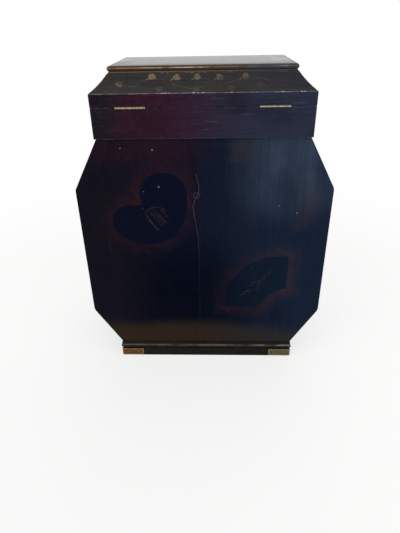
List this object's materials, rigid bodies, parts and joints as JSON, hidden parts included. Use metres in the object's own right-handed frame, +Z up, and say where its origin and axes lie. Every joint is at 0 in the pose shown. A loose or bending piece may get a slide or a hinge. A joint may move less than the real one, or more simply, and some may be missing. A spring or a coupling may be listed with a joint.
{
  "type": "tea caddy",
  "caption": "Black lacquered wooden tea caddy with octagonal panels, a hinged coved lid, brass corners, a box lock and lift-out metal canisters with slip-on caps.",
  "frame": {"origin": "middle of the footprint on the surface the caddy stands on", "axes": "+X to the right seen from the hinged back, +Y from the hinged back to the lock side, +Z up"},
  "size_m": [0.235, 0.121, 0.2958],
  "materials": {
    "black_lacquer": "glossy black lacquer with a wine and navy cast",
    "panel_lacquer": "aged black lacquer with worn reddish outlines and a crack",
    "cove_lacquer": "brown-black lacquer with a dull gold vine scroll",
    "top_lacquer": "polished black lacquer with a worn brown edge",
    "plinth_lacquer": "worn brown-black lacquer",
    "inner_lacquer": "dull red lacquer",
    "hinge_brass": "bright rubbed brass",
    "mount_brass": "dull bronze-toned brass",
    "lock_brass": "aged brass",
    "pewter": "dull pewter"
  },
  "bodies": {
    "case": {"back_panel": "panel_lacquer", "front_panel": "panel_lacquer", "left_shoulder_board": "black_lacquer", "right_shoulder_board": "black_lacquer", "left_side_board": "black_lacquer", "right_side_board": "black_lacquer", "left_foot_board": "black_lacquer", "right_foot_board": "black_lacquer", "bottom_board": "black_lacquer", "neck_back": "black_lacquer", "neck_right": "black_lacquer", "neck_front": "black_lacquer", "neck_left": "black_lacquer", "well_board": "inner_lacquer", "plinth_back": "plinth_lacquer", "plinth_right": "plinth_lacquer", "plinth_front": "plinth_lacquer", "plinth_left": "plinth_lacquer", "corner_mount_back_left": "mount_brass", "corner_mount_back_right": "mount_brass", "corner_mount_front_right": "mount_brass", "corner_mount_front_left": "mount_brass", "corner_pins": "mount_brass", "left_hinge_case_leaf": "hinge_brass", "right_hinge_case_leaf": "hinge_brass", "left_hinge_pin": "hinge_brass", "right_hinge_pin": "hinge_brass", "hinge_case_screws": "hinge_brass", "lock_case": "lock_brass", "lock_cover": "lock_brass", "lock_screws": "lock_brass", "escutcheon": "lock_brass", "escutcheon_pins": "lock_brass"},
    "lid": {"left_hinge_lid_leaf": "hinge_brass", "right_hinge_lid_leaf": "hinge_brass", "hinge_lid_screws": "hinge_brass", "link_plate": "lock_brass", "link_plate_screws": "lock_brass", "lid_back": "black_lacquer", "lid_right": "black_lacquer", "lid_front": "black_lacquer", "lid_left": "black_lacquer", "cove_back": "cove_lacquer", "cove_right": "cove_lacquer", "cove_front": "cove_lacquer", "cove_left": "cove_lacquer", "lid_top_board": "top_lacquer"},
    "bolt": {"lock_bolt": "lock_brass"},
    "left_tin": {"left_canister": "pewter"},
    "right_tin": {"right_canister": "pewter"},
    "left_cap": {"left_canister_cap": "pewter", "left_cap_knob": "pewter"},
    "right_cap": {"right_canister_cap": "pewter", "right_cap_knob": "pewter"}
  },
  "joints": [
    {"name": "lid_hinge", "type": "hinge", "parent": "case", "child": "lid", "pos_m": [0, -0.0593, 0.2653], "axis": [1, 0, 0], "range_deg": [0, 105]},
    {"name": "bolt_slide", "type": "slide", "parent": "case", "child": "bolt", "axis": [-1, 0, 0], "range_m": [0, 0.004]},
    {"name": "left_canister_lift", "type": "slide", "parent": "case", "child": "left_tin", "axis": [0, 0, 1], "range_m": [0, 0.01]},
    {"name": "right_canister_lift", "type": "slide", "parent": "case", "child": "right_tin", "axis": [0, 0, 1], "range_m": [0, 0.01]},
    {"name": "left_cap_lift", "type": "slide", "parent": "left_tin", "child": "left_cap", "axis": [0, 0, 1], "range_m": [0, 0.012]},
    {"name": "right_cap_lift", "type": "slide", "parent": "right_tin", "child": "right_cap", "axis": [0, 0, 1], "range_m": [0, 0.012]}
  ]
}
